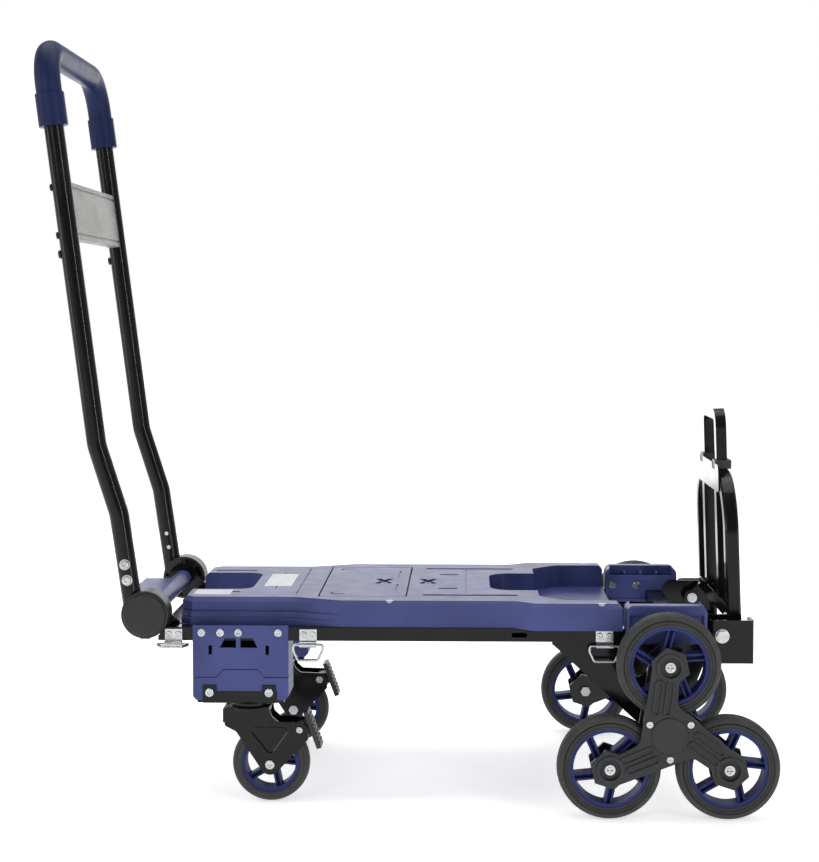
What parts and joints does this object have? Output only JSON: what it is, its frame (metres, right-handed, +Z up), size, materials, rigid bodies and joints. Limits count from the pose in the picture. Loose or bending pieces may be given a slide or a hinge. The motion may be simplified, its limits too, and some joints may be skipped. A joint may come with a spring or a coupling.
{
  "type": "stair climbing trolley",
  "caption": "Folding platform trolley with a navy moulded deck, star wheels that climb stairs, braked swivel casters, a folding push handle and a folding toe rack.",
  "frame": {"origin": "on the floor under the centre of the overall box", "axes": "+X towards the toe rack and star wheels, +Z up, XZ is the plane of symmetry"},
  "size_m": [0.944, 0.5124, 0.98],
  "materials": {
    "navy_plastic": "moulded navy blue plastic, fine grain",
    "grip_plastic": "soft dark navy grip vinyl",
    "rim_plastic": "moulded deep blue wheel rim",
    "label_white": "plain printed film, left blank",
    "black_steel": "gloss black powder coat",
    "zinc_steel": "bright zinc plate",
    "charcoal_plastic": "textured charcoal nylon",
    "grey_plastic": "satin mid grey",
    "tyre_rubber": "dark grey solid rubber"
  },
  "bodies": {
    "base": {"deck": "navy_plastic", "deck_trim": "label_white", "frame": "black_steel", "axle_brackets": "black_steel", "corner_blocks": "navy_plastic", "rack_brackets": "black_steel", "housing_uppers": "navy_plastic", "housing_lowers": "navy_plastic", "caster_plates": "black_steel", "caster_races": "black_steel", "star_axle": "zinc_steel", "pivot_pins": "zinc_steel", "release_bar": "navy_plastic", "dring_mounts": "zinc_steel", "base_fasteners": "zinc_steel"},
    "handle": {"handle_tube": "black_steel", "handle_grip": "grip_plastic", "handle_plate": "grey_plastic", "handle_hubs": "charcoal_plastic", "handle_bolts": "zinc_steel", "handle_buttons": "charcoal_plastic"},
    "release_pedal": {"release_pedal": "navy_plastic"},
    "lid": {"deck_lid": "navy_plastic"},
    "rack": {"rack_frame": "black_steel", "rack_plate": "black_steel", "rack_guides": "charcoal_plastic"},
    "rack_slider": {"rack_slider": "black_steel"},
    "caster_r": {"caster_fork_r": "black_steel", "caster_pins_r": "zinc_steel"},
    "caster_wheel_r": {"caster_tyre_r": "tyre_rubber", "caster_rim_r": "rim_plastic"},
    "brake_r": {"brake_pedal_r": "charcoal_plastic"},
    "star_r": {"star_frame_r": "charcoal_plastic", "star_bolts_r": "zinc_steel"},
    "star_wheel1_r": {"star1_tyre_r": "tyre_rubber", "star1_rim_r": "rim_plastic"},
    "star_wheel2_r": {"star2_tyre_r": "tyre_rubber", "star2_rim_r": "rim_plastic"},
    "star_wheel3_r": {"star3_tyre_r": "tyre_rubber", "star3_rim_r": "rim_plastic"},
    "dring1_r": {"dring1_r": "zinc_steel"},
    "dring2_r": {"dring2_r": "zinc_steel"},
    "dring3_r": {"dring3_r": "zinc_steel"},
    "caster_l": {"caster_fork_l": "black_steel", "caster_pins_l": "zinc_steel"},
    "caster_wheel_l": {"caster_tyre_l": "tyre_rubber", "caster_rim_l": "rim_plastic"},
    "brake_l": {"brake_pedal_l": "charcoal_plastic"},
    "star_l": {"star_frame_l": "charcoal_plastic", "star_bolts_l": "zinc_steel"},
    "star_wheel1_l": {"star1_tyre_l": "tyre_rubber", "star1_rim_l": "rim_plastic"},
    "star_wheel2_l": {"star2_tyre_l": "tyre_rubber", "star2_rim_l": "rim_plastic"},
    "star_wheel3_l": {"star3_tyre_l": "tyre_rubber", "star3_rim_l": "rim_plastic"},
    "dring1_l": {"dring1_l": "zinc_steel"},
    "dring2_l": {"dring2_l": "zinc_steel"},
    "dring3_l": {"dring3_l": "zinc_steel"}
  },
  "joints": [
    {"name": "handle_fold", "type": "hinge", "parent": "base", "child": "handle", "pos_m": [-0.3286, 0, 0.242], "axis": [0, 1, 0], "range_deg": [-82, 90]},
    {"name": "release_press", "type": "hinge", "parent": "base", "child": "release_pedal", "pos_m": [-0.3286, 0, 0.242], "axis": [0, 1, 0], "range_deg": [-20, 0], "stiffness_Nm_per_rad": 0.8, "springref_deg": 20.05},
    {"name": "lid_hinge", "type": "hinge", "parent": "base", "child": "lid", "pos_m": [-0.1086, 0, 0.26], "axis": [0, 1, 0], "range_deg": [-100, 0]},
    {"name": "rack_fold", "type": "hinge", "parent": "base", "child": "rack", "pos_m": [0.4064, 0, 0.219], "axis": [0, 1, 0], "range_deg": [-88, 0]},
    {"name": "rack_extend", "type": "slide", "parent": "rack", "child": "rack_slider", "axis": [-0.0349, 0, 0.9994], "range_m": [-0.04, 0]},
    {"name": "caster_swivel_r", "type": "hinge", "parent": "base", "child": "caster_r", "pos_m": [-0.1956, -0.158, 0.1295], "axis": [0, 0, 1], "continuous": true},
    {"name": "caster_roll_r", "type": "hinge", "parent": "caster_r", "child": "caster_wheel_r", "pos_m": [-0.1686, -0.158, 0.05], "axis": [0, 1, 0], "continuous": true},
    {"name": "brake_press_r", "type": "hinge", "parent": "caster_r", "child": "brake_r", "pos_m": [-0.1306, -0.158, 0.095], "axis": [0, 1, 0], "range_deg": [-16, 0]},
    {"name": "star_spin_r", "type": "hinge", "parent": "base", "child": "star_r", "pos_m": [0.33339, -0.231, 0.1075], "axis": [0, 1, 0], "continuous": true},
    {"name": "star_roll1_r", "type": "hinge", "parent": "star_r", "child": "star_wheel1_r", "pos_m": [0.33339, -0.231, 0.1925], "axis": [0, 1, 0], "continuous": true},
    {"name": "star_roll2_r", "type": "hinge", "parent": "star_r", "child": "star_wheel2_r", "pos_m": [0.25978, -0.231, 0.065], "axis": [0, 1, 0], "continuous": true},
    {"name": "star_roll3_r", "type": "hinge", "parent": "star_r", "child": "star_wheel3_r", "pos_m": [0.407, -0.231, 0.065], "axis": [0, 1, 0], "continuous": true},
    {"name": "dring1_swing_r", "type": "hinge", "parent": "base", "child": "dring1_r", "pos_m": [-0.292, -0.1782, 0.205], "axis": [1, 0, 0], "range_deg": [0, 90]},
    {"name": "dring2_swing_r", "type": "hinge", "parent": "base", "child": "dring2_r", "pos_m": [-0.1196, -0.1782, 0.205], "axis": [1, 0, 0], "range_deg": [-90, 0]},
    {"name": "dring3_swing_r", "type": "hinge", "parent": "base", "child": "dring3_r", "pos_m": [0.2584, -0.1782, 0.205], "axis": [1, 0, 0], "range_deg": [-90, 0]},
    {"name": "caster_swivel_l", "type": "hinge", "parent": "base", "child": "caster_l", "pos_m": [-0.1956, 0.158, 0.1295], "axis": [0, 0, 1], "continuous": true},
    {"name": "caster_roll_l", "type": "hinge", "parent": "caster_l", "child": "caster_wheel_l", "pos_m": [-0.1686, 0.158, 0.05], "axis": [0, 1, 0], "continuous": true},
    {"name": "brake_press_l", "type": "hinge", "parent": "caster_l", "child": "brake_l", "pos_m": [-0.1306, 0.158, 0.095], "axis": [0, 1, 0], "range_deg": [-16, 0]},
    {"name": "star_spin_l", "type": "hinge", "parent": "base", "child": "star_l", "pos_m": [0.33339, 0.231, 0.1075], "axis": [0, 1, 0], "continuous": true},
    {"name": "star_roll1_l", "type": "hinge", "parent": "star_l", "child": "star_wheel1_l", "pos_m": [0.33339, 0.231, 0.1925], "axis": [0, 1, 0], "continuous": true},
    {"name": "star_roll2_l", "type": "hinge", "parent": "star_l", "child": "star_wheel2_l", "pos_m": [0.25978, 0.231, 0.065], "axis": [0, 1, 0], "continuous": true},
    {"name": "star_roll3_l", "type": "hinge", "parent": "star_l", "child": "star_wheel3_l", "pos_m": [0.407, 0.231, 0.065], "axis": [0, 1, 0], "continuous": true},
    {"name": "dring1_swing_l", "type": "hinge", "parent": "base", "child": "dring1_l", "pos_m": [-0.292, 0.1782, 0.205], "axis": [1, 0, 0], "range_deg": [-90, 0]},
    {"name": "dring2_swing_l", "type": "hinge", "parent": "base", "child": "dring2_l", "pos_m": [-0.1196, 0.1782, 0.205], "axis": [1, 0, 0], "range_deg": [0, 90]},
    {"name": "dring3_swing_l", "type": "hinge", "parent": "base", "child": "dring3_l", "pos_m": [0.2584, 0.1782, 0.205], "axis": [1, 0, 0], "range_deg": [0, 90]}
  ]
}
